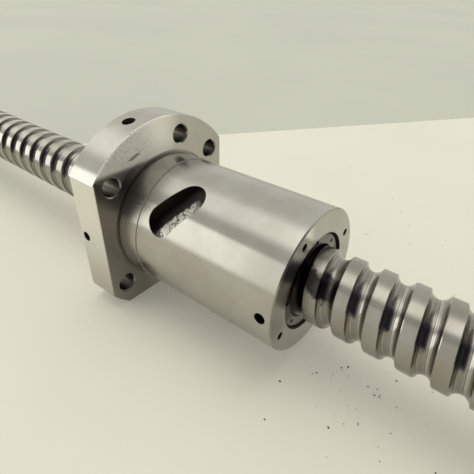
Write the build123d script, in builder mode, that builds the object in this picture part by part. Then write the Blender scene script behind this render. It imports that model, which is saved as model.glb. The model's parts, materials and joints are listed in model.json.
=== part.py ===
from build123d import *
from math import asin, ceil, cos, degrees, floor, hypot, pi, radians, sin
import os

# Ball screw with a flanged nut and its end bearings.
# Frame: origin at the centre of the flange's mounting face, +X along the screw
# towards the nut's nose, +Z up. Angles about the screw run from +Y towards +Z.
# All lengths are in millimetres and all angles in degrees.

# ---------------------------------------------------------------- thread
SCREW_R = 19.85            # outside radius of the nominal 40 mm screw
LEAD = 15.0                # single start, right hand
BALL_D = 7.938
BALL_CENTRE_R = 20.8       # radius of the circle that the ball centres run on
GROOVE_R = 4.3
GROOVE_PHASE = 9.4         # x of the groove's centre at angle 0

# ---------------------------------------------------------------- nut
BODY_R = 40.0              # pilot that centres the nut in its bracket
PILOT_LENGTH = 15.0
BODY_TAIL_R = 39.55        # the body beyond the pilot is relieved
BODY_LENGTH = 106.5        # from the flange face to the nose
NUT_BORE_R = 20.25
NOSE_CHAMFER = 0.8
FLANGE_R = 62.5
FLANGE_T = 22.0
FLANGE_SIDE = 50.0         # from the axis to each of the two side flats
FLANGE_FOOT = 48.5         # from the axis to the lower flat
FLANGE_CHAMFER = 0.5
RELIEF_R = 41.4            # outer radius of the relief groove at the body's root
RELIEF_DEPTH = 1.0
BOLT_R = 5.5
BOLT_CHAMFER = 0.7
BOLT_PCD = 102.0
BOLT_ANGLE = 40.0          # the four corner holes are mirrored from this one
FIFTH_BOLT_ANGLE = 74.3
LUBE_ANGLE = 103.0
LUBE_X = -11.5
LUBE_R = 3.9
LUBE_BOTTOM_R = 31.0
FEED_R = 1.75
FEED_EXIT_X = 6.0          # where the slanted feed drilling meets the bore
NOSE_HOLE_R = 2.1
NOSE_HOLE_PCD = 66.4
NOSE_HOLE_DEPTH = 12.0
NOSE_HOLE_ANGLE = 28.0
NOSE_HOLES = 4

# ---------------------------------------------------------------- wipers
RECESS_R = 27.0
RECESS_DEPTH = 12.0
WIPER_T = 9.0
WIPER_BORE_R = 20.15
PLATE_T = 1.6
PLATE_R = 25.5
PLATE_BORE_R = 20.4
PLATE_HOLE_R = 1.2
PLATE_HOLE_PCD = 46.4
PLATE_HOLES = 8
WIPER_SCREW_R = 3.0
WIPER_SCREW_LENGTH = 7.0
FRONT_SCREW_X = 100.6
REAR_SCREW_X = -16.9
HEX_FLATS = 3.0
HEX_DEPTH = 3.0

# ---------------------------------------------------------------- ball return
POCKET_X = 36.1
POCKET_ANGLE = 134.7
POCKET_R = 8.8
POCKET_HALF = 9.5          # from the pocket's centre to the centre of each rounded end
POCKET_TILT = 57.0         # of the pocket's long axis from the screw axis
INSERT_TOP_R = 32.0        # the insert's flat top, measured from the screw axis
CIRCUITS = 3
CIRCUIT_STEP = LEAD * (1 + 1 / CIRCUITS)
CIRCUIT_TURN = 360 / CIRCUITS
RETURN_SPAN = 33.2         # angle from the pocket's centre to where the balls leave the thread
RETURN_LIFT = 25.2         # radius of the ball centres as they cross the screw's land
RETURN_R = 4.3
BALLS_PER_CIRCUIT = 16

# ---------------------------------------------------------------- screw ends
THREAD_START = -300.0
THREAD_END = 225.0
SEAT_R = 15.0              # bearing seats
DRIVE_R = 12.5             # drive journal
SPACER_R = 19.5
FIXED_SPACER_T = 8.0
CLAMP_SPACER_T = 6.0
CLAMP_SPACER_R = 18.5
LOCK_NUT_T = 16.0
LOCK_NUT_R = 24.0
LOCK_THREAD_R = 14.9
LOCK_CHAMFER = 0.8
LOCK_SLOTS = 4
LOCK_SLOT_WIDTH = 6.0
LOCK_SLOT_DEPTH = 2.5
LOCK_SCREWS = 2
LOCK_SCREW_R = 2.5
LOCK_SCREW_ANGLE = 90.0
LOCK_SCREW_STEP = 120.0
LOCK_PAD_T = 2.0
DRIVE_LENGTH = 46.0
DRIVE_CHAMFER = 1.0
KEY_WIDTH = 8.0
KEY_LENGTH = 30.0
KEY_SUNK = 4.0             # depth of the keyway
CIRCLIP_T = 1.5
CIRCLIP_R = 18.6
CIRCLIP_GROOVE_R = 14.3
CIRCLIP_GAP = 9.0          # opening between the circlip's ends
CIRCLIP_LUG_X = 7.2
CIRCLIP_LUG_Y = 16.6
CIRCLIP_LUG_R = 2.6
CIRCLIP_EYE_R = 1.0
SUPPORT_TAIL = 5.0         # shaft beyond the circlip

# ---------------------------------------------------------------- bearings
BEARING_R = 31.0
BEARING_W = 16.0
INNER_LAND_R = 19.6
OUTER_LAND_R = 26.4
RACE_R = 4.95
RACE_CENTRE_R = 23.0
BEARING_BALL_D = 9.525
BEARING_BALLS = 11
CAGE_T = 2.6
CAGE_W = 13.0
CAGE_POCKET_R = 5.05
BEARING_CHAMFER = 0.8

# ---------------------------------------------------------------- places along X
NOSE_X = BODY_LENGTH
BACK_X = -FLANGE_T
BEARING_A_X = THREAD_START - FIXED_SPACER_T - BEARING_W / 2
BEARING_B_X = BEARING_A_X - BEARING_W
CLAMP_X = BEARING_B_X - BEARING_W / 2 - CLAMP_SPACER_T
LOCK_X = CLAMP_X - LOCK_NUT_T
DRIVE_X = LOCK_X - 3.0
DRIVE_END_X = DRIVE_X - DRIVE_LENGTH
SUPPORT_X = THREAD_END + BEARING_W / 2
CIRCLIP_X = THREAD_END + BEARING_W
SUPPORT_END_X = CIRCLIP_X + CIRCLIP_T + SUPPORT_TAIL

os.makedirs("parts", exist_ok=True)


def across(x):
    """Plane square to the screw at x, with its own x along +Y and its y along +Z."""
    return Plane(origin=(x, 0, 0), x_dir=(0, 1, 0), z_dir=(1, 0, 0))


def outward(x, angle, radius=0.0):
    """Plane facing out from the screw axis, with its own x along +X."""
    out = (0, cos(radians(angle)), sin(radians(angle)))
    origin = (x, radius * out[1], radius * out[2])
    return Plane(origin=origin, x_dir=(1, 0, 0), z_dir=out)


def on_circle(pcd, angle):
    """Point of a sketch across the screw, on a pitch circle."""
    return (pcd / 2 * cos(radians(angle)), pcd / 2 * sin(radians(angle)))


def save(part, name):
    part.label = name
    export_step(part, f"parts/{name}.step")


def groove_x(angle):
    """x of the thread groove's centre at an angle that may be more than one turn."""
    return GROOVE_PHASE + LEAD * angle / 360


def thread_rod(angle, turns, radius):
    """Rod bent along the thread groove, from an angle on and for some turns.

    It is swept one turn or part of a turn at a time, which keeps its faces short.
    """
    with BuildPart() as rod:
        with BuildLine() as path:
            for turn in range(ceil(turns)):
                height = LEAD * min(1, turns - turn)
                Helix(pitch=LEAD, height=height, radius=BALL_CENTRE_R, center=(0, 0, turn * LEAD))
        with BuildSketch(Plane(origin=path.line @ 0, z_dir=path.line % 0)):
            Circle(radius)
        sweep(is_frenet=True)
    out = (0, cos(radians(angle)), sin(radians(angle)))
    base = Plane(origin=(groove_x(angle), 0, 0), x_dir=out, z_dir=(1, 0, 0))
    return base.location * rod.part


def rod_between(low_x, high_x, radius):
    """Thread rod that covers at least the stretch of the screw from low_x to high_x."""
    first = floor((low_x - radius - GROOVE_PHASE) / LEAD)
    last = ceil((high_x + radius - GROOVE_PHASE) / LEAD)
    return thread_rod(360 * first, last - first, radius)


def disc(x, length, radius):
    """Cylinder round the screw axis, from x on."""
    with BuildPart() as solid:
        with BuildSketch(across(x)):
            Circle(radius)
        extrude(amount=length)
    return solid.part


def ring(x, length, outer, inner, edge=0.0):
    """Ring round the screw axis, from x on, with its outer edges chamfered."""
    with BuildPart() as solid:
        with BuildSketch(across(x)):
            Circle(outer)
            Circle(inner, mode=Mode.SUBTRACT)
        extrude(amount=length)
        if edge:
            outer_face = solid.faces().filter_by(GeomType.CYLINDER).sort_by(SortBy.RADIUS)[-1]
            chamfer(outer_face.edges().filter_by(GeomType.CIRCLE), edge)
    return solid.part


def socket_screw(plane, radius, length):
    """Set screw with a hexagon socket, from the plane's origin inwards."""
    with BuildPart() as screw:
        with BuildSketch(plane):
            Circle(radius)
        extrude(amount=-length)
        chamfer(screw.edges().filter_by(GeomType.CIRCLE), 0.1 * radius)
        with BuildSketch(plane):
            RegularPolygon(HEX_FLATS / 2, 6, major_radius=False)
        extrude(amount=-HEX_DEPTH, mode=Mode.SUBTRACT)
    return screw.part


# ================================================================ screw
def screw_profile():
    """Half outline of the turned shaft, as points (x, radius)."""
    return [
        (DRIVE_END_X, 0),
        (DRIVE_END_X, DRIVE_R - DRIVE_CHAMFER),
        (DRIVE_END_X + DRIVE_CHAMFER, DRIVE_R),
        (DRIVE_X, DRIVE_R),
        (DRIVE_X, LOCK_THREAD_R - DRIVE_CHAMFER),
        (DRIVE_X + DRIVE_CHAMFER, LOCK_THREAD_R),
        (CLAMP_X, LOCK_THREAD_R),
        (CLAMP_X, SEAT_R),
        (THREAD_START, SEAT_R),
        (THREAD_START, SCREW_R - DRIVE_CHAMFER),
        (THREAD_START + DRIVE_CHAMFER, SCREW_R),
        (THREAD_END - DRIVE_CHAMFER, SCREW_R),
        (THREAD_END, SCREW_R - DRIVE_CHAMFER),
        (THREAD_END, SEAT_R),
        (CIRCLIP_X, SEAT_R),
        (CIRCLIP_X, CIRCLIP_GROOVE_R),
        (CIRCLIP_X + CIRCLIP_T, CIRCLIP_GROOVE_R),
        (CIRCLIP_X + CIRCLIP_T, SEAT_R),
        (SUPPORT_END_X - DRIVE_CHAMFER, SEAT_R),
        (SUPPORT_END_X, SEAT_R - DRIVE_CHAMFER),
        (SUPPORT_END_X, 0),
    ]


KEY_X = (DRIVE_X + DRIVE_END_X) / 2
KEY_FLOOR = DRIVE_R - KEY_SUNK
key_plane = outward(KEY_X, 90, KEY_FLOOR)

with BuildPart() as screw_shaft:
    with BuildSketch(Plane.XZ):
        with BuildLine():
            Polyline(*screw_profile(), close=True)
        make_face()
    revolve(axis=Axis.X)
    with BuildSketch(key_plane):
        SlotOverall(KEY_LENGTH, KEY_WIDTH)
    extrude(amount=2 * KEY_SUNK, mode=Mode.SUBTRACT)
    add(rod_between(THREAD_START, THREAD_END, GROOVE_R), mode=Mode.SUBTRACT)
save(screw_shaft.part, "screw_shaft")


# ================================================================ nut
def pocket_plane(number, radius):
    """Plane facing out at the centre of one of the return pockets."""
    angle = POCKET_ANGLE + number * CIRCUIT_TURN
    return outward(POCKET_X + number * CIRCUIT_STEP, angle, radius)


def pocket_block(number, low, high):
    """The pocket's oval, standing out from radius low to radius high."""
    with BuildPart() as block:
        with BuildSketch(pocket_plane(number, low)):
            SlotCenterToCenter(2 * POCKET_HALF, 2 * POCKET_R, rotation=POCKET_TILT)
        extrude(amount=high - low)
    return block.part


def drilled(plane, radius, depth, bevel=0.0):
    """Blind or through drilling into the plane, with an optional bevel at its mouth."""
    with BuildPart() as hole:
        with BuildSketch(plane):
            Circle(radius)
        extrude(amount=-depth)
        if bevel:
            with BuildSketch(plane):
                Circle(radius + bevel)
            with BuildSketch(plane.offset(-bevel)):
                Circle(radius)
            loft()
    return hole.part


bolt_angles = [BOLT_ANGLE, 180 - BOLT_ANGLE, 180 + BOLT_ANGLE, -BOLT_ANGLE, FIFTH_BOLT_ANGLE]
bolt_points = [on_circle(BOLT_PCD, angle) for angle in bolt_angles]
lube_out = (0, cos(radians(LUBE_ANGLE)), sin(radians(LUBE_ANGLE)))
feed_start = Vector(LUBE_X, *[(LUBE_BOTTOM_R + LUBE_R) * part for part in lube_out[1:]])
feed_end = Vector(FEED_EXIT_X, *[(NUT_BORE_R - FEED_R) * part for part in lube_out[1:]])

with BuildPart() as nut_body:
    # flange with two side flats and a lower flat
    with BuildSketch(across(BACK_X)):
        Circle(FLANGE_R)
        with Locations((0, (FLANGE_R - FLANGE_FOOT) / 2)):
            Rectangle(2 * FLANGE_SIDE, FLANGE_R + FLANGE_FOOT, mode=Mode.INTERSECT)
    extrude(amount=FLANGE_T)
    flange_faces = nut_body.faces().filter_by(Axis.X)
    chamfer(flange_faces.edges(), FLANGE_CHAMFER)
    # relief groove in the flange's face, round the body's root
    with BuildSketch(across(0)):
        Circle(RELIEF_R)
        Circle(BODY_R, mode=Mode.SUBTRACT)
    extrude(amount=-RELIEF_DEPTH, mode=Mode.SUBTRACT)
    # body, with its pilot next to the flange
    with BuildSketch(across(0)):
        Circle(BODY_R)
    extrude(amount=PILOT_LENGTH)
    with BuildSketch(across(0)):
        Circle(BODY_TAIL_R)
    extrude(amount=BODY_LENGTH)
    nose_face = nut_body.faces().sort_by(Axis.X)[-1]
    chamfer(nose_face.edges(), NOSE_CHAMFER)
    # bore, and a recess for the wiper at each end
    with BuildSketch(across(BACK_X)):
        Circle(NUT_BORE_R)
    extrude(amount=FLANGE_T + BODY_LENGTH, mode=Mode.SUBTRACT)
    for recess_x in (BACK_X, NOSE_X - RECESS_DEPTH):
        with BuildSketch(across(recess_x)):
            Circle(RECESS_R)
        extrude(amount=RECESS_DEPTH, mode=Mode.SUBTRACT)
    # bolt holes through the flange, bevelled on both faces
    for point in bolt_points:
        front = across(0)
        front_mouth = Plane(front.from_local_coords(point), x_dir=(0, 1, 0), z_dir=(1, 0, 0))
        back_mouth = Plane(front_mouth.origin - Vector(FLANGE_T, 0, 0), x_dir=(0, 1, 0), z_dir=(-1, 0, 0))
        add(drilled(front_mouth, BOLT_R, FLANGE_T, BOLT_CHAMFER), mode=Mode.SUBTRACT)
        add(drilled(back_mouth, BOLT_R, FLANGE_T, BOLT_CHAMFER), mode=Mode.SUBTRACT)
    # tapped holes in the nose
    with BuildSketch(across(NOSE_X)):
        with PolarLocations(NOSE_HOLE_PCD / 2, NOSE_HOLES, start_angle=NOSE_HOLE_ANGLE):
            Circle(NOSE_HOLE_R)
    extrude(amount=-NOSE_HOLE_DEPTH, mode=Mode.SUBTRACT)
    # lubrication port in the rim, and its slanted feed into the thread
    port = outward(LUBE_X, LUBE_ANGLE, FLANGE_R)
    add(drilled(port, LUBE_R, FLANGE_R - LUBE_BOTTOM_R), mode=Mode.SUBTRACT)
    feed = Plane(origin=feed_start, z_dir=feed_start - feed_end)
    add(drilled(feed, FEED_R, (feed_end - feed_start).length), mode=Mode.SUBTRACT)
    # set screw holes of the wipers
    front_hole = outward(FRONT_SCREW_X, 180, BODY_R + 1)
    add(drilled(front_hole, WIPER_SCREW_R, BODY_R + 1 - RECESS_R + 1), mode=Mode.SUBTRACT)
    rear_hole = outward(REAR_SCREW_X, 180, FLANGE_SIDE + 1)
    add(drilled(rear_hole, WIPER_SCREW_R, FLANGE_SIDE + 1 - RECESS_R + 1), mode=Mode.SUBTRACT)
    # pockets of the return inserts
    for number in range(CIRCUITS):
        add(pocket_block(number, 0, BODY_R + 5), mode=Mode.SUBTRACT)
    # internal thread
    add(rod_between(BACK_X + RECESS_DEPTH, NOSE_X - RECESS_DEPTH, GROOVE_R), mode=Mode.SUBTRACT)
save(nut_body.part, "nut_body")


# ================================================================ ball return
# The balls leave the thread at RETURN_SPAN either side of the pocket's centre and
# cross the screw's land on an arc, in the plane of the outward direction and the line
# between the two ends.
HALF_X = LEAD / 2 - LEAD * RETURN_SPAN / 360
HALF_T = BALL_CENTRE_R * sin(radians(RETURN_SPAN))
HALF_CHORD = hypot(HALF_X, HALF_T)
END_HEIGHT = BALL_CENTRE_R * cos(radians(RETURN_SPAN))
SAGITTA = RETURN_LIFT - END_HEIGHT
ARC_R = (HALF_CHORD**2 + SAGITTA**2) / (2 * SAGITTA)
ARC_HALF = degrees(asin(HALF_CHORD / ARC_R))
THREAD_SPAN = 360 - 2 * RETURN_SPAN
ENTRY_SPAN = 40.0
ENTRY_OVERLAP = 8.0
CHANNEL_OVERRUN = 12.0      # angle that the channel's arc runs on past each end


def crossing_angle(number):
    """Angle of the turn just below a pocket, counted on from angle 0."""
    return POCKET_ANGLE + number * (CIRCUIT_TURN + 360) + 360


def return_plane(number):
    """Plane of the return arc, with its own x along the chord and its y outwards."""
    angle = crossing_angle(number)
    out = Vector(0, cos(radians(angle)), sin(radians(angle)))
    along = Vector(-HALF_X, -HALF_T * sin(radians(angle)), HALF_T * cos(radians(angle)))
    centre = Vector(groove_x(angle) + LEAD / 2, 0, 0) + out * (RETURN_LIFT - ARC_R)
    return Plane(origin=centre, x_dir=along, z_dir=along.cross(out))


def return_channel(number):
    with BuildPart() as channel:
        with BuildLine(return_plane(number)) as path:
            reach = ARC_HALF + CHANNEL_OVERRUN
            CenterArc((0, 0), ARC_R, 90 - reach, 2 * reach)
        with BuildSketch(Plane(origin=path.line @ 0, z_dir=path.line % 0)):
            Circle(RETURN_R)
        sweep()
    return channel.part


def circuit_points(number):
    """Centres of the balls of one circuit, evenly spaced round the closed path."""
    arc_length = ARC_R * radians(2 * ARC_HALF)
    thread_length = hypot(2 * pi * BALL_CENTRE_R, LEAD) * THREAD_SPAN / 360
    plane = return_plane(number)
    step = (arc_length + thread_length) / BALLS_PER_CIRCUIT
    points = []
    for ball in range(BALLS_PER_CIRCUIT):
        way = (ball + 0.5) * step
        if way < arc_length:
            turn = radians(90 - ARC_HALF) + way / ARC_R
            points.append(plane.from_local_coords((ARC_R * cos(turn), ARC_R * sin(turn))))
        else:
            start = crossing_angle(number) + 360 - RETURN_SPAN
            angle = start - THREAD_SPAN * (way - arc_length) / thread_length
            y, z = on_circle(2 * BALL_CENTRE_R, angle)
            points.append(Vector(groove_x(angle), y, z))
    return points


for number in range(CIRCUITS):
    entry = ENTRY_SPAN + ENTRY_OVERLAP
    angle = crossing_angle(number)
    with BuildPart() as return_insert:
        add(pocket_block(number, 0, INSERT_TOP_R))
        add(disc(BACK_X, FLANGE_T + BODY_LENGTH, NUT_BORE_R), mode=Mode.SUBTRACT)
        add(return_channel(number), mode=Mode.SUBTRACT)
        lower_start = angle + RETURN_SPAN - ENTRY_OVERLAP
        add(thread_rod(lower_start, entry / 360, GROOVE_R), mode=Mode.SUBTRACT)
        upper_start = angle + 360 - RETURN_SPAN - ENTRY_SPAN
        add(thread_rod(upper_start, entry / 360, GROOVE_R), mode=Mode.SUBTRACT)
    save(return_insert.part, f"return_insert_{number + 1}")

    with BuildPart() as balls_circuit:
        with Locations(*circuit_points(number)):
            Sphere(BALL_D / 2)
    save(balls_circuit.part, f"balls_circuit_{number + 1}")


# ================================================================ wipers
def wiper_plate(x):
    """Steel ring with small holes that holds a wiper in its recess."""
    with BuildPart() as plate:
        add(ring(x, PLATE_T, PLATE_R, PLATE_BORE_R))
        with BuildSketch(across(x)):
            with PolarLocations(PLATE_HOLE_PCD / 2, PLATE_HOLES):
                Circle(PLATE_HOLE_R)
        extrude(amount=PLATE_T, mode=Mode.SUBTRACT)
    return plate.part


front_x = NOSE_X - RECESS_DEPTH
rear_x = BACK_X + RECESS_DEPTH
save(ring(front_x, WIPER_T, RECESS_R, WIPER_BORE_R), "front_wiper")
save(ring(rear_x - WIPER_T, WIPER_T, RECESS_R, WIPER_BORE_R), "rear_wiper")
save(wiper_plate(front_x + WIPER_T), "front_wiper_plate")
save(wiper_plate(rear_x - WIPER_T - PLATE_T), "rear_wiper_plate")

for name, x in (("front_wiper_screw", FRONT_SCREW_X), ("rear_wiper_screw", REAR_SCREW_X)):
    top = outward(x, 180, RECESS_R + WIPER_SCREW_LENGTH)
    save(socket_screw(top, WIPER_SCREW_R, WIPER_SCREW_LENGTH), name)


# ================================================================ bearings
def bearing(name, x, low_shoulder=0):
    """Rings, balls and cage of one ball bearing centred at x.

    low_shoulder is 1 or -1 where the outer ring's shoulder on that side is cut low, as
    on an angular contact bearing, and 0 on a deep-groove bearing.
    """
    start = x - BEARING_W / 2
    with BuildPart() as race:
        with BuildSketch(Plane.XZ):
            with Locations((x, RACE_CENTRE_R)):
                Circle(RACE_R)
        revolve(axis=Axis.X)
    with BuildPart() as outer_ring:
        add(ring(start, BEARING_W, BEARING_R, OUTER_LAND_R, BEARING_CHAMFER))
        add(race.part, mode=Mode.SUBTRACT)
        if low_shoulder:
            relief = x if low_shoulder > 0 else start
            low_r = (OUTER_LAND_R + RACE_CENTRE_R + RACE_R) / 2
            add(disc(relief, BEARING_W / 2, low_r), mode=Mode.SUBTRACT)
    with BuildPart() as inner_ring:
        add(ring(start, BEARING_W, INNER_LAND_R, SEAT_R))
        add(race.part, mode=Mode.SUBTRACT)
    with BuildPart() as balls:
        with Locations(across(x)):
            with PolarLocations(RACE_CENTRE_R, BEARING_BALLS):
                Sphere(BEARING_BALL_D / 2)
    with BuildPart() as cage:
        add(ring(x - CAGE_W / 2, CAGE_W, RACE_CENTRE_R + CAGE_T / 2, RACE_CENTRE_R - CAGE_T / 2))
        for ball in range(BEARING_BALLS):
            plane = outward(x, 360 * ball / BEARING_BALLS, RACE_CENTRE_R + CAGE_T)
            add(drilled(plane, CAGE_POCKET_R, 2 * CAGE_T), mode=Mode.SUBTRACT)
    mark = name[-2:] if name[-2:] in ("_a", "_b") else ""
    stem = name.removesuffix(mark)
    save(outer_ring.part, f"{stem}_outer_ring{mark}")
    save(inner_ring.part, f"{stem}_inner_ring{mark}")
    save(balls.part, f"{stem}_balls{mark}")
    save(cage.part, f"{stem}_cage{mark}")


bearing("fixed_a", BEARING_A_X, 1)
bearing("fixed_b", BEARING_B_X, -1)
bearing("support", SUPPORT_X)

# ================================================================ clamp of the fixed bearings
save(ring(THREAD_START - FIXED_SPACER_T, FIXED_SPACER_T, SPACER_R, SEAT_R, 0.5), "fixed_spacer")
save(ring(CLAMP_X, CLAMP_SPACER_T, CLAMP_SPACER_R, SEAT_R, 0.5), "clamp_spacer")

lock_middle = LOCK_X + LOCK_NUT_T / 2
with BuildPart() as lock_nut:
    add(ring(LOCK_X, LOCK_NUT_T, LOCK_NUT_R, SEAT_R, LOCK_CHAMFER))
    for number in range(LOCK_SLOTS):
        slot = outward(LOCK_X, 360 * (number + 0.5) / LOCK_SLOTS, LOCK_NUT_R)
        with BuildSketch(slot):
            Rectangle(LOCK_NUT_T, LOCK_SLOT_WIDTH)
        extrude(amount=-LOCK_SLOT_DEPTH, mode=Mode.SUBTRACT)
    for number in range(LOCK_SCREWS):
        mouth = outward(lock_middle, LOCK_SCREW_ANGLE + number * LOCK_SCREW_STEP, LOCK_NUT_R + 1)
        add(drilled(mouth, LOCK_SCREW_R, LOCK_NUT_R + 1 - SEAT_R + 1), mode=Mode.SUBTRACT)
save(lock_nut.part, "lock_nut")

with BuildPart() as lock_nut_screws:
    for number in range(LOCK_SCREWS):
        angle = LOCK_SCREW_ANGLE + number * LOCK_SCREW_STEP
        top = outward(lock_middle, angle, LOCK_NUT_R - 0.5)
        add(socket_screw(top, LOCK_SCREW_R, LOCK_NUT_R - 0.5 - SEAT_R - LOCK_PAD_T))
save(lock_nut_screws.part, "lock_nut_screws")

with BuildPart() as lock_nut_pads:
    for number in range(LOCK_SCREWS):
        angle = LOCK_SCREW_ANGLE + number * LOCK_SCREW_STEP
        add(drilled(outward(lock_middle, angle, SEAT_R + LOCK_PAD_T), LOCK_SCREW_R, LOCK_PAD_T))
save(lock_nut_pads.part, "lock_nut_pads")

with BuildPart() as support_circlip:
    with BuildSketch(across(CIRCLIP_X)):
        Circle(CIRCLIP_R)
        Circle(CIRCLIP_GROOVE_R, mode=Mode.SUBTRACT)
        with Locations((0, CIRCLIP_R)):
            Rectangle(CIRCLIP_GAP, 2 * (CIRCLIP_R - CIRCLIP_GROOVE_R + 1), mode=Mode.SUBTRACT)
        with Locations(*[(side * CIRCLIP_LUG_X, CIRCLIP_LUG_Y) for side in (-1, 1)]):
            Circle(CIRCLIP_LUG_R)
        with Locations(*[(side * CIRCLIP_LUG_X, CIRCLIP_LUG_Y) for side in (-1, 1)]):
            Circle(CIRCLIP_EYE_R, mode=Mode.SUBTRACT)
        Circle(CIRCLIP_GROOVE_R, mode=Mode.SUBTRACT)
    extrude(amount=CIRCLIP_T)
save(support_circlip.part, "support_circlip")
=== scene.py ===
import json
import math

import bmesh
import bpy
import numpy as np
from mathutils import Matrix, Vector


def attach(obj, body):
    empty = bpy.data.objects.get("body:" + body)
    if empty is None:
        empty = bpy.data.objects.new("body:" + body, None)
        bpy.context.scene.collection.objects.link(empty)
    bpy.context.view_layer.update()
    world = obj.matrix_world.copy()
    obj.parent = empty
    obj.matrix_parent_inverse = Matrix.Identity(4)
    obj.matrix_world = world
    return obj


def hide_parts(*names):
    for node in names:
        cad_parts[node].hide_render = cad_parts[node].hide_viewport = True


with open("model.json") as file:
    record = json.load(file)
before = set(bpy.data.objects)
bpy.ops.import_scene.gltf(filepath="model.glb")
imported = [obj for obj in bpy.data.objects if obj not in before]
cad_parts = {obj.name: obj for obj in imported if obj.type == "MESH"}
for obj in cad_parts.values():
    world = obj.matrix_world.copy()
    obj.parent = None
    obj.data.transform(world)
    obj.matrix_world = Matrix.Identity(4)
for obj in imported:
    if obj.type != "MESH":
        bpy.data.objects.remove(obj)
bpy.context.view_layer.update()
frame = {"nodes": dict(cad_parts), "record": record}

MM = 0.001
BUMP_HEIGHT = 0.05 * MM

# Thread of the screw, in millimetres
LEAD = 15.0
SCREW_R = 19.85
BALL_CENTRE_R = 20.8
GROOVE_R = 4.36
GROOVE_SPLIT = 0.10
GROOVE_PHASE = 9.4
GROOVE_EDGE = 4.1
BEVEL_EDGE = 4.5
THREAD_START = -300.0
THREAD_END = 225.0
THREAD_STEPS = 120
DARK_PATCH_X = 112.0            # the middle of the dark patch beside the nut's nose
DARK_PATCH_SLANT = 0.015        # radians per mm

# Camera, in millimetres and degrees
CAMERA_AT = (173.57, -150.86, 132.22)
CAMERA_YAW = 127.976
CAMERA_PITCH = -33.520
CAMERA_ROLL = 1.327
CAMERA_LENS = 30.66
SENSOR = 36.0

FLOOR_Z = -48.5

# The nut, in millimetres and degrees
NOSE_X = 106.5
PILOT_END = 15.0
BODY_R = 39.55              # beyond the pilot
RELIEF_R = 41.4
RELIEF_DEPTH = 1.0
FLAT_Y = 50.0
BOLT_HOLE_R = 5.5
BOLT_PCD_R = 51.0
BOLT_ANGLES = (40.0, 74.3, 140.0, -40.0, -140.0)
POCKET_X = 36.1
POCKET_ANGLE = 134.7
POCKET_TILT = 57.0
INSERT_TOP_R = 32.0
DENT_Y, DENT_Z = -22.0, 45.2
DENT_LONG = 5.0             # half of its length; half of its width is 1 mm
DENT_ALONG = (0.95, 0.31)   # its direction across the flange's face


# ---------------------------------------------------------------- node helpers
class Graph:
    """Adds shader nodes to one node tree, with plain numbers or sockets as inputs."""

    def __init__(self, tree):
        self.tree = tree

    def node(self, kind, **settings):
        made = self.tree.nodes.new(kind)
        for name, value in settings.items():
            setattr(made, name, value)
        return made

    def put(self, socket, value):
        if isinstance(value, bpy.types.NodeSocket):
            self.tree.links.new(value, socket)
        else:
            socket.default_value = value

    def math(self, operation, a, b=0.0, c=0.0):
        made = self.node("ShaderNodeMath", operation=operation)
        for socket, value in zip(made.inputs, (a, b, c)):
            self.put(socket, value)
        return made.outputs[0]

    def times(self, *factors):
        product = factors[0]
        for factor in factors[1:]:
            product = self.math("MULTIPLY", product, factor)
        return product

    def plus(self, a, b):
        return self.math("ADD", a, b)

    def minus(self, a, b):
        return self.math("SUBTRACT", a, b)

    def step(self, value, low, high, to_low=0.0, to_high=1.0):
        """A smooth change from to_low to to_high as value goes from low to high, which may be the smaller."""
        made = self.node("ShaderNodeMapRange", interpolation_type="SMOOTHSTEP")
        for socket, v in zip(made.inputs, (value, low, high, to_low, to_high)):
            self.put(socket, v)
        return made.outputs[0]

    def band(self, value, rise, fall):
        """1 between the end of rise and the start of fall, each a (from, to) pair, and 0 outside them."""
        return self.times(self.step(value, *rise), self.step(value, *fall))

    def mix(self, factor, a, b):
        made = self.node("ShaderNodeMix", data_type="RGBA")
        self.put(made.inputs[0], factor)
        self.put(made.inputs[6], a)
        self.put(made.inputs[7], b)
        return made.outputs[2]

    def noise(self, vector, scale, detail=3.0, roughness=0.55):
        made = self.node("ShaderNodeTexNoise")
        self.put(made.inputs["Vector"], vector)
        made.inputs["Scale"].default_value = scale
        made.inputs["Detail"].default_value = detail
        made.inputs["Roughness"].default_value = roughness
        return made.outputs["Fac"]

    def vector(self, x, y, z):
        made = self.node("ShaderNodeCombineXYZ")
        for socket, v in zip(made.inputs, (x, y, z)):
            self.put(socket, v)
        return made.outputs[0]

    def split(self, vector):
        made = self.node("ShaderNodeSeparateXYZ")
        self.put(made.inputs[0], vector)
        return made.outputs[0], made.outputs[1], made.outputs[2]

    def bump(self, height, strength, distance):
        made = self.node("ShaderNodeBump")
        made.inputs["Strength"].default_value = strength
        made.inputs["Distance"].default_value = distance
        self.put(made.inputs["Height"], height)
        return made.outputs["Normal"]


class Place:
    """Object coordinates in millimetres: x along the screw, r from its axis, and angle round it in radians."""

    def __init__(self, g):
        coords = g.node("ShaderNodeTexCoord").outputs["Object"]
        scaled = g.node("ShaderNodeVectorMath", operation="SCALE")
        g.put(scaled.inputs[0], coords)
        scaled.inputs["Scale"].default_value = 1 / MM
        self.point = scaled.outputs[0]
        self.x, self.y, self.z = g.split(self.point)
        self.r = g.math("SQRT", g.plus(g.times(self.y, self.y), g.times(self.z, self.z)))
        self.angle = g.math("ARCTAN2", self.z, self.y)


def grey(value, warm=0.0):
    """A grey, pulled towards yellow-brown by warm."""
    return (value * (1 + warm), value, value * (1 - 1.6 * warm), 1.0)


def new_material(name):
    made = bpy.data.materials.new(name)
    made.use_nodes = True
    g = Graph(made.node_tree)
    return made, g, made.node_tree.nodes["Principled BSDF"]


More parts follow.
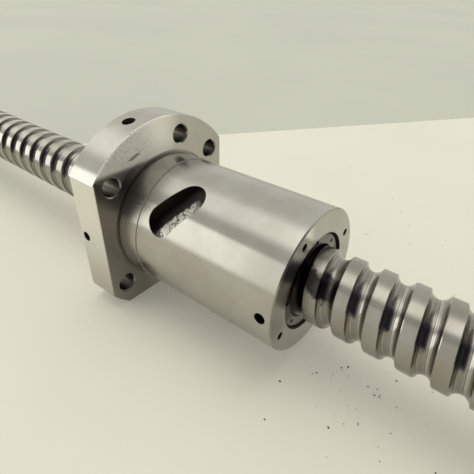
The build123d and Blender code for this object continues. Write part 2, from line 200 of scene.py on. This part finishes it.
def metal(name, light, dark, rough, lines=2.2, bump=0.10, stain=0.35, extra=None, brushed=0.0):
    """Turned or ground steel: fine lines round the axis, uneven polish and faint oil stains.

    lines is how close the lines are, stain how strong the stains are, and brushed how far highlights are drawn out
    across the lines. extra(g, p, base, roughness, height) returns those three changed, and how metallic it is.
    """
    made, g, shader = new_material(name)
    p = Place(g)
    wander = g.times(g.noise(p.point, 0.06, 2.0), 0.6)
    across = g.vector(g.plus(p.x, wander), p.r, 0.0)
    fine = g.noise(across, lines, 4.0, 0.7)
    cloud = g.noise(p.point, 0.05, 3.0)
    spots = g.noise(p.point, 0.35, 4.0, 0.65)
    base = g.mix(g.step(cloud, 0.3, 0.7), light, dark)
    base = g.mix(g.times(g.step(fine, 0.35, 0.65), 0.25), base, dark)
    base = g.mix(g.times(g.step(spots, 0.52, 0.72), stain), base, dark)
    roughness = g.plus(g.times(fine, 0.06), rough - 0.05)
    roughness = g.plus(roughness, g.times(cloud, 0.06))
    height, metallic = fine, 1.0
    if extra is not None:
        base, roughness, height, metallic = extra(g, p, base, roughness, height)
    g.put(shader.inputs["Base Color"], base)
    g.put(shader.inputs["Roughness"], roughness)
    g.put(shader.inputs["Normal"], g.bump(height, bump, BUMP_HEIGHT))
    g.put(shader.inputs["Metallic"], metallic)
    shader.inputs["Anisotropic"].default_value = brushed
    shader.inputs["Anisotropic Rotation"].default_value = 0.25
    around = g.node("ShaderNodeTangent", direction_type="RADIAL", axis="X")
    g.put(shader.inputs["Tangent"], around.outputs[0])
    return made


def plastic(name, colour, rough):
    """Dull moulded plastic with a fine grain."""
    made, g, shader = new_material(name)
    p = Place(g)
    grain = g.noise(p.point, 3.0, 3.0)
    film = g.noise(p.point, 0.3, 3.0)
    g.put(shader.inputs["Base Color"], g.mix(g.step(film, 0.35, 0.65), colour, grey(0.06, 0.1)))
    g.put(shader.inputs["Roughness"], g.step(film, 0.3, 0.7, rough - 0.15, rough))
    g.put(shader.inputs["Normal"], g.bump(grain, 0.2, BUMP_HEIGHT))
    return made


def nut_dent(g, p):
    """One deep dent in the flange's face, as a slanting ellipse."""
    off_y, off_z = g.minus(p.y, DENT_Y), g.minus(p.z, DENT_Z)
    along_y, along_z = DENT_ALONG
    long = g.times(g.plus(g.times(off_y, along_y), g.times(off_z, along_z)), 1 / DENT_LONG)
    wide = g.minus(g.times(off_z, along_y), g.times(off_y, along_z))
    far = g.plus(g.times(long, long), g.times(wide, wide))
    return g.times(g.step(far, 1.2, 0.3), g.step(p.x, -1.0, -0.3))


def nut_face_painted_shade(g, p, nose):
    """Painted shade on the lower left of the flange's face, darker at the body's root, and on the nose's left: the dark
    reflection of the shadow under the body.
    """
    root = g.times(g.step(p.r, 50.0, 44.0), g.step(p.z, 22.0, 30.0))
    on_face = g.times(g.step(p.y, -14.0, -28.0), g.step(p.z, 42.0, 37.0), g.band(p.x, (-0.9, -0.4), (0.6, 0.2)))
    on_face = g.times(on_face, g.plus(0.60, g.times(root, 0.32)))
    on_nose = g.times(nose, g.step(p.y, -20.0, -31.0), g.step(p.z, -20.0, -6.0))
    return g.plus(on_face, g.times(on_nose, 0.55))


def nut_hollow_shade(g, p):
    """Painted shade in the pockets, the recess, the bore and the bolt holes, and in the relief at the body's root."""
    inside = g.band(p.x, (0.6, 1.2), (NOSE_X - 0.1, NOSE_X - 0.5))
    inside = g.times(inside, g.step(p.r, BODY_R - 0.20, BODY_R - 0.65))
    nearest = BOLT_PCD_R
    for degrees in BOLT_ANGLES:
        turn = math.radians(degrees)
        off_y = g.minus(p.y, BOLT_PCD_R * math.cos(turn))
        off_z = g.minus(p.z, BOLT_PCD_R * math.sin(turn))
        away = g.math("SQRT", g.plus(g.times(off_y, off_y), g.times(off_z, off_z)))
        nearest = g.math("MINIMUM", nearest, away)
    holes = g.times(g.step(nearest, BOLT_HOLE_R + 0.3, BOLT_HOLE_R + 0.1), g.step(p.x, -0.5, -0.9))
    relief = g.band(p.x, (-RELIEF_DEPTH - 0.6, -RELIEF_DEPTH - 0.2), (-RELIEF_DEPTH + 0.45, -RELIEF_DEPTH + 0.15))
    relief = g.times(relief, g.step(p.r, RELIEF_R + 0.2, RELIEF_R + 0.1))
    return g.math("MAXIMUM", inside, g.math("MAXIMUM", g.times(holes, 0.70), g.times(relief, 0.35)))


def nut_wear_and_painted_light(g, p, base, roughness, height):
    """The nut's wear and painted light: scuffs and a dent, painted highlights on a rubbed ring and on the nose, a
    lighter pilot step, painted light and shade on the flats, and painted shade on the faces and in every hollow.
    """
    face = g.band(p.x, (-0.9, -0.4), (0.5, 0.3))
    nose = g.step(p.x, NOSE_X - 0.3, NOSE_X - 0.1)

    # a thin rubbed ring at the top left of the flange's face is painted near white and less metallic, a painted
    # highlight, and the face is scuffed near its edge
    rubbed_highlight = g.times(g.step(p.angle, 1.30, 1.60), g.step(p.z, 38.5, 42.0), g.step(p.r, 41.6, 42.2), face)
    base = g.mix(rubbed_highlight, base, grey(0.95, 0.03))
    scratches = g.noise(g.vector(g.times(p.y, 0.35), g.times(p.z, 2.2), g.times(p.x, 0.5)), 1.2, 5.0, 0.75)
    patch = g.times(g.band(p.angle, (1.62, 1.90), (2.50, 2.38)), g.step(p.r, 45.0, 50.0), g.step(p.x, -1.0, -0.3))
    base = g.mix(g.times(patch, g.step(scratches, 0.48, 0.42), 0.55), base, grey(0.12, 0.05))
    roughness = g.plus(roughness, g.times(patch, 0.35))
    height = g.plus(height, g.times(patch, scratches, 8.0))
    base = g.mix(g.times(nut_dent(g, p), 0.8), base, grey(0.16, 0.05))

    # painted shade: a dark grey over the flange's face and the nose where they mirror the shadow under the body
    base = g.mix(nut_face_painted_shade(g, p, nose), base, grey(0.20, 0.06))
    # painted highlight: a pale grey fan on the nose's face, from 100 to 140 degrees round the screw
    nose_highlight = g.times(g.band(p.angle, (1.75, 1.95), (2.45, 2.25)), nose)
    base = g.mix(nose_highlight, base, grey(0.80, 0.04))

    # the narrow step where the pilot ends is painted a lighter, less metallic grey, which hides the dark reflection
    # line it would draw round the body
    pilot_end = g.band(p.x, (PILOT_END - 0.12, PILOT_END - 0.05), (PILOT_END + 0.12, PILOT_END + 0.05))
    base = g.mix(pilot_end, base, grey(0.42, 0.03))

    # the milled flats on the flange's sides are painted lighter than the turned faces, with painted light towards the
    # top and painted shade towards the bottom
    flats_painted_light = g.times(g.step(g.math("ABSOLUTE", p.y), FLAT_Y - 0.3, FLAT_Y - 0.1), g.step(p.r, 44.0, 45.0))
    base = g.mix(flats_painted_light, base, g.mix(g.step(p.z, -40.0, 18.0), grey(0.46, 0.04), grey(0.78, 0.03)))

    # painted shade: near black in the nut's hollows
    hollow_shade = nut_hollow_shade(g, p)
    base = g.mix(hollow_shade, base, grey(0.045, 0.2))
    roughness = g.plus(roughness, g.times(hollow_shade, 0.2))
    metallic = g.minus(1.0, g.times(g.math("MAXIMUM", rubbed_highlight, pilot_end), 0.7))
    return base, roughness, height, metallic


def screw_finish_and_shade(g, p, base, roughness, height):
    """Bright lands, and a groove with oily streaks, painted shade on one flank and a polished track on the other."""
    along = g.minus(p.x, g.times(p.angle, LEAD / (2 * math.pi)))
    # how far a point is from the groove's middle, along the screw
    phase = g.math("WRAP", g.minus(along, GROOVE_PHASE), LEAD / 2, -LEAD / 2)
    in_groove = g.times(g.step(p.r, 19.75, 19.55), g.step(g.math("ABSOLUTE", phase), 6.0, 5.0))
    lines = g.noise(g.vector(phase, 0.0, 0.0), 2.5, 4.0, 0.75)
    oily = g.mix(g.step(lines, 0.42, 0.58), grey(0.40, 0.05), grey(0.07, 0.14))
    base = g.mix(g.times(in_groove, 0.75), base, oily)
    roughness = g.plus(roughness, g.times(in_groove, lines, 0.06))
    height = g.plus(height, g.times(in_groove, lines, 3.5))

    patchy = g.times(g.minus(g.noise(p.point, 0.25, 3.0), 0.5), 1.2)
    turn = g.plus(p.angle, g.times(patchy, 0.5))
    # painted shade: near black on one flank of the groove, from about 112 to 169 degrees round the screw
    flank_painted_shade = g.times(g.band(phase, (-4.5, -3.7), (0.3, -0.9)), g.band(turn, (1.95, 2.25), (2.95, 2.70)))
    base = g.mix(g.times(flank_painted_shade, 0.85), base, (0.05, 0.04, 0.065, 1.0))
    track = g.band(phase, (0.5, 0.9), (2.3, 1.7))
    base = g.mix(g.times(track, g.step(lines, 0.40, 0.60, 0.50, 0.12)), base, grey(0.80, 0.02))

    # a near-black patch on the upper left of the screw where it comes out of the nut, and painted shade on its left
    # side at and inside the nut's nose
    turn = g.minus(g.plus(p.angle, patchy), g.times(g.minus(p.x, DARK_PATCH_X), DARK_PATCH_SLANT))
    near_black_patch = g.times(g.band(turn, (1.95, 2.30), (2.90, 2.55)), g.band(p.x, (98.0, 102.0), (126.0, 123.0)))
    base = g.mix(g.times(near_black_patch, 0.92), base, (0.035, 0.03, 0.035, 1.0))
    # painted shade: near black on the screw's left side at and inside the nut's nose
    recess_painted_shade = g.times(g.step(p.y, -10.0, -14.0), g.band(p.x, (94.0, 98.0), (110.0, 108.5)))
    base = g.mix(recess_painted_shade, base, grey(0.02, 0.1))
    return base, roughness, height, 1.0


def insert_scratches_and_shadow(g, p, base, roughness, height):
    """Milled top of the return insert, with random curved scratches and a near-black painted shadow of the pocket's
    wall.
    """
    dark = 0.0
    for shift in (0.0, 37.0):
        moved = g.vector(g.plus(p.x, shift), p.y, g.times(p.z, 1.6))
        wave = g.math("ABSOLUTE", g.minus(g.noise(moved, 0.17, 1.0), 0.5))
        dark = g.math("MAXIMUM", dark, g.step(wave, 0.022, 0.011))

    # painted shadow of the pocket's wall along the side of the pocket nearest to the flange, and at its top end
    tilt = math.radians(POCKET_TILT)
    turned = g.times(g.minus(p.angle, math.radians(POCKET_ANGLE)), INSERT_TOP_R)
    moved_x = g.minus(p.x, POCKET_X)
    across = g.plus(g.times(moved_x, math.sin(tilt)), g.times(turned, math.cos(tilt)))
    along = g.minus(g.times(moved_x, math.cos(tilt)), g.times(turned, math.sin(tilt)))
    ragged = g.times(g.minus(g.noise(p.point, 0.5, 3.0), 0.5), 3.0)
    wall_painted_shadow = g.math("MAXIMUM", g.step(g.plus(across, ragged), -0.4, -1.8), g.step(along, 5.0, 13.0))
    near = g.times(g.step(g.math("ABSOLUTE", moved_x), 18.0, 16.0), g.step(p.z, 0.0, 2.0))
    dark = g.math("MAXIMUM", dark, g.times(wall_painted_shadow, near))
    base = g.mix(g.times(dark, 0.97), base, grey(0.012, 0.1))
    roughness = g.plus(roughness, g.times(dark, 0.3))
    height = g.minus(height, g.times(dark, 2.0))
    return base, roughness, height, 1.0


def plate_finish(g, p, base, roughness, height):
    """Near black on the left side of the end plates, round the screw."""
    near_black_patch = g.times(g.step(p.y, -6.0, -15.0), g.step(p.z, -17.0, -9.0))
    base = g.mix(g.times(near_black_patch, 0.92), base, grey(0.03, 0.1))
    return base, roughness, height, 1.0


PAD_BRASS, OLD_PAD_BRASS = (0.52, 0.38, 0.17, 1.0), (0.38, 0.26, 0.11, 1.0)
CAGE_BRASS, OLD_CAGE_BRASS = (0.50, 0.36, 0.16, 1.0), (0.36, 0.25, 0.10, 1.0)

MATERIALS = {
    "screw_ends": metal("screw_ends", grey(0.36, 0.03), grey(0.29, 0.07), 0.22, 1.4),
    "nut_steel": metal("nut_steel", grey(0.46, 0.03), grey(0.40, 0.05), 0.20, extra=nut_wear_and_painted_light, brushed=0.85),
    "screw_steel": metal(
        "screw_steel", grey(0.36, 0.03), grey(0.29, 0.07), 0.19, 1.4, extra=screw_finish_and_shade, brushed=0.85),
    "insert_steel": metal("insert_steel", grey(0.68, 0.02), grey(0.52, 0.03), 0.12, extra=insert_scratches_and_shadow),
    "ball_steel": metal("ball_steel", grey(0.60), grey(0.52), 0.08, 0.5, bump=0.02, stain=0.1),
    "wiper_plastic": plastic("wiper_plastic", grey(0.015, 0.1), 0.45),
    "plate_steel": metal("plate_steel", grey(0.22, 0.02), grey(0.15, 0.04), 0.33, extra=plate_finish),
    "black_steel": metal("black_steel", grey(0.06), grey(0.035), 0.42),
    "pad_brass": metal("pad_brass", PAD_BRASS, OLD_PAD_BRASS, 0.3),
    "cage_brass": metal("cage_brass", CAGE_BRASS, OLD_CAGE_BRASS, 0.28),
    "bearing_steel": metal("bearing_steel", grey(0.46), grey(0.38, 0.02), 0.16),
    "collar_steel": metal("collar_steel", grey(0.30, 0.02), grey(0.23, 0.04), 0.30),
}


def smooth(obj, degrees=32.0):
    obj.data.shade_smooth()
    obj.data.set_sharp_from_angle(angle=math.radians(degrees))


# ---------------------------------------------------------------- thread
def groove_radius(s):
    """Radius of the thread's surface at s mm from the groove's middle: two ball arcs, a ground bevel, then the land."""
    s = abs(s)
    if s >= BEVEL_EDGE:
        return SCREW_R
    if s <= GROOVE_EDGE:
        return BALL_CENTRE_R - math.sqrt(GROOVE_R ** 2 - (s + GROOVE_SPLIT) ** 2)
    share = (s - GROOVE_EDGE) / (BEVEL_EDGE - GROOVE_EDGE)
    return groove_radius(GROOVE_EDGE) * (1 - share) + SCREW_R * share


def thread_mesh():
    """The screw's thread as one helical strip per turn, cut off square at both ends."""
    half = [0.2, 0.6, 1.0, 1.4, 1.8, 2.2, 2.6, 3.0, 3.35, 3.65, 3.9, GROOVE_EDGE, BEVEL_EDGE, 5.2, 6.0, 6.8]
    offsets = [-s for s in reversed(half)] + [0.0] + half + [LEAD / 2]
    first = math.floor((THREAD_START - GROOVE_PHASE) / LEAD) - 1
    last = math.ceil((THREAD_END - GROOVE_PHASE) / LEAD) + 1
    along = [(turn * LEAD + s, groove_radius(s)) for turn in range(first, last) for s in offsets]
    verts, faces = [], []
    for j in range(THREAD_STEPS):
        angle = 2 * math.pi * j / THREAD_STEPS
        shift = GROOVE_PHASE + LEAD * j / THREAD_STEPS
        for x, r in along:
            verts.append(((x + shift) * MM, r * math.cos(angle) * MM, r * math.sin(angle) * MM))
    rows = len(along)
    per_turn = len(offsets)
    # the last strip joins the first one a turn further on
    for j in range(THREAD_STEPS):
        wrap = j == THREAD_STEPS - 1
        for i in range(rows - 1 - (per_turn if wrap else 0)):
            a = j * rows + i
            b = i + per_turn if wrap else (j + 1) * rows + i
            faces.append((a, a + 1, b + 1, b))
    mesh = bpy.data.meshes.new("thread")
    mesh.from_pydata(verts, [], faces)
    return mesh


def cut_between(mesh, low, high, keep_inside):
    """Keeps the part of mesh between x = low and high millimetres, or the two parts outside it."""
    bm = bmesh.new()
    bm.from_mesh(mesh)
    if keep_inside:
        for x, sign in ((low, -1), (high, 1)):
            geom = bm.verts[:] + bm.edges[:] + bm.faces[:]
            bmesh.ops.bisect_plane(bm, geom=geom, plane_co=(x * MM, 0, 0), plane_no=(sign, 0, 0), clear_outer=True)
    else:
        for x in (low, high):
            geom = bm.verts[:] + bm.edges[:] + bm.faces[:]
            bmesh.ops.bisect_plane(bm, geom=geom, plane_co=(x * MM, 0, 0), plane_no=(1, 0, 0))
        inner = [f for f in bm.faces if low * MM < f.calc_center_median().x < high * MM]
        bmesh.ops.delete(bm, geom=inner, context="FACES")
    rims = [e for e in bm.edges if e.is_boundary]
    bmesh.ops.holes_fill(bm, edges=rims, sides=0)
    bmesh.ops.recalc_face_normals(bm, faces=bm.faces[:])
    bm.to_mesh(mesh)
    bm.free()


def add_object(name, mesh):
    made = bpy.data.objects.new(name, mesh)
    bpy.context.scene.collection.objects.link(made)
    return made


def dress(obj, body, slot, material, *replaced):
    """Gives a piece its material and body, and hides the CAD nodes it stands in for; slot is not used."""
    obj.data.materials.clear()
    obj.data.materials.append(MATERIALS[material])
    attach(obj, body)
    if replaced:
        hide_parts(*replaced)


thread = thread_mesh()
cut_between(thread, THREAD_START, THREAD_END, True)
thread_object = add_object("screw_thread", thread)
smooth(thread_object, 18.0)
dress(thread_object, "screw", "screw_steel", "screw_steel", "screw_shaft")

ends = frame["nodes"]["screw_shaft"].data.copy()
cut_between(ends, THREAD_START, THREAD_END, False)
ends_object = add_object("screw_ends", ends)
smooth(ends_object)
dress(ends_object, "screw", "screw_steel", "screw_ends")

# ---------------------------------------------------------------- CAD nodes
for row in frame["record"]["subparts"]:
    node = frame["nodes"][row["node"]]
    if row["node"] == "screw_shaft":
        continue
    node.data.materials.clear()
    node.data.materials.append(MATERIALS[row["material_slot"]])


# ---------------------------------------------------------------- stage
def stage_material(name, light, dark, rough, scale, glow):
    """Plain paper; glow is the share of its brightness that doesn't depend on the light that reaches it."""
    made, g, shader = new_material(name)
    p = Place(g)
    cloud = g.noise(p.point, scale, 3.0)
    colour = g.mix(g.step(cloud, 0.3, 0.7), light, dark)
    g.put(shader.inputs["Base Color"], colour)
    g.put(shader.inputs["Emission Color"], colour)
    shader.inputs["Emission Strength"].default_value = glow
    shader.inputs["Roughness"].default_value = rough
    return made


def flat_quad(name, corners, material):
    mesh = bpy.data.meshes.new(name)
    mesh.from_pydata([tuple(c * MM for c in corner) for corner in corners], [], [tuple(range(len(corners)))])
    made = add_object(name, mesh)
    made.data.materials.append(material)
    return made


floor_paper = stage_material(
    "floor_paper", (0.615, 0.60, 0.523, 1), (0.592, 0.577, 0.50, 1), rough=0.7, scale=0.004, glow=0.25)
table_paper = stage_material(
    "table_paper", (0.53, 0.54, 0.48, 1), (0.50, 0.51, 0.455, 1), rough=0.9, scale=0.002, glow=0.05)

# a pale sheet lies on a slightly darker table, and its straight back edge passes behind the nut
TABLE_HALF = 9000.0
SHEET_THICK = 0.3
EDGE_AT = Vector((-154.9, 249.8, FLOOR_Z))
EDGE_ALONG = Vector((0.603, 0.798, 0.0))
LEFT_LENGTH, RIGHT_LENGTH = 11500.0, 10900.0
edge_left, edge_right = EDGE_AT - EDGE_ALONG * LEFT_LENGTH, EDGE_AT + EDGE_ALONG * RIGHT_LENGTH
sheet = [edge_left, (TABLE_HALF, edge_left.y, FLOOR_Z), (TABLE_HALF, edge_right.y, FLOOR_Z), edge_right]
flat_quad("floor", sheet, floor_paper)
square = [(-1, -1), (1, -1), (1, 1), (-1, 1)]
table = [(TABLE_HALF * x, TABLE_HALF * y, FLOOR_Z - SHEET_THICK) for x, y in square]
flat_quad("table", table, table_paper)


def crumbs(count, seed):
    """Small dark crumbs of swarf and dust on the floor, most of them in front of the screw."""
    rng = np.random.default_rng(seed)
    bm = bmesh.new()
    for _ in range(count):
        spread = rng.normal(0.0, 1.0, 2)
        if rng.random() < 0.6:
            at = (138 + 26 * spread[0], -2 + 22 * spread[1])
        else:
            at = (95 + 45 * spread[0], 150 + 60 * spread[1])
        size = 0.22 + 0.5 * rng.random() ** 3
        shape = Matrix.Diagonal((size * (0.6 + rng.random()), size * (0.5 + 0.5 * rng.random()), size * 0.35, 1.0))
        turn = Matrix.Rotation(rng.random() * 6.28, 4, "Z")
        place = Matrix.Translation((at[0], at[1], FLOOR_Z + size * 0.3))
        to_metres = Matrix.Scale(MM, 4)
        bmesh.ops.create_icosphere(bm, subdivisions=1, radius=1.0, matrix=to_metres @ place @ turn @ shape)
    mesh = bpy.data.meshes.new("crumbs")
    bm.to_mesh(mesh)
    bm.free()
    made = add_object("crumbs", mesh)
    made.data.materials.append(plastic("crumb", grey(0.10, 0.2), 0.8))


crumbs(110, 7)


# ---------------------------------------------------------------- light
def make_world():
    """Bands of light, long and parallel to the screw, so each is set by its angle round the X axis in degrees."""
    world = bpy.data.worlds.new("studio")
    world.use_nodes = True
    bpy.context.scene.world = world
    g = Graph(world.node_tree)
    x, y, z = g.split(g.node("ShaderNodeTexCoord").outputs["Generated"])
    around = g.times(g.math("ARCTAN2", z, y), 180 / math.pi)
    near = g.step(x, -0.40, -0.30)

    # overhead, with a wider and brighter part towards the near end of the screw
    lamp = g.band(around, (66.0, 84.0), (116.0, 104.0))
    level = g.plus(0.84, g.times(lamp, 0.46))
    wide = g.band(around, (52.0, 88.0), (124.0, 98.0))
    level = g.plus(level, g.times(wide, near, 0.70))
    # a dim strip, and a bright board low on the left beyond it
    strip = g.band(around, (114.0, 118.0), (136.0, 134.0))
    level = g.minus(level, g.times(strip, 0.15))
    low_side = g.math("MAXIMUM", g.step(around, 134.5, 136.5), g.step(around, -100.0, -120.0))
    level = g.plus(level, g.times(low_side, g.step(x, -0.30, -0.58), 1.15))
    level = g.plus(level, g.times(low_side, near, 0.03))
    # a bright window beyond the far end of the screw
    level = g.times(level, g.step(x, -0.76, -0.88, 1.0, 1.5))
    # the dark side, towards the camera
    dark = g.times(g.step(x, 0.20, 0.38), g.step(around, 45.0, 62.0))
    level = g.times(level, g.minus(1.0, g.times(dark, 0.90)))

    tint = g.node("ShaderNodeCombineColor")
    for socket, value in zip(tint.inputs, (level, level, g.times(level, 0.90))):
        g.put(socket, value)
    g.put(world.node_tree.nodes["Background"].inputs["Color"], tint.outputs[0])


def make_sun():
    """Soft overhead light that leans towards the back, so that the shadows fall to the front."""
    data = bpy.data.lights.new("overhead", "SUN")
    data.energy = 0.45
    data.angle = math.radians(40)
    data.color = (1.0, 0.99, 0.94)
    made = bpy.data.objects.new("overhead", data)
    # steel mirrors the bands of the world only, so that the bands alone set its highlights
    made.visible_glossy = False
    made.rotation_euler = Vector((-0.10, 0.16, 0.97)).to_track_quat("Z", "Y").to_euler()
    bpy.context.scene.collection.objects.link(made)


make_world()
make_sun()


# ---------------------------------------------------------------- camera
def make_camera():
    yaw, pitch, roll = (math.radians(a) for a in (CAMERA_YAW, CAMERA_PITCH, CAMERA_ROLL))
    forward = Vector((math.cos(pitch) * math.cos(yaw), math.cos(pitch) * math.sin(yaw), math.sin(pitch)))
    right = forward.cross(Vector((0, 0, 1))).normalized()
    up = right.cross(forward)
    side = right * math.cos(roll) + up * math.sin(roll)
    top = up * math.cos(roll) - right * math.sin(roll)
    data = bpy.data.cameras.new("camera")
    data.lens = CAMERA_LENS
    data.sensor_width = SENSOR
    data.clip_start = 0.01
    data.clip_end = 20.0
    made = bpy.data.objects.new("camera", data)
    made.matrix_world = Matrix((side, top, -forward)).transposed().to_4x4()
    made.location = Vector(CAMERA_AT) * MM
    bpy.context.scene.collection.objects.link(made)
    bpy.context.scene.camera = made


make_camera()
bpy.context.scene.view_settings.view_transform = "Standard"
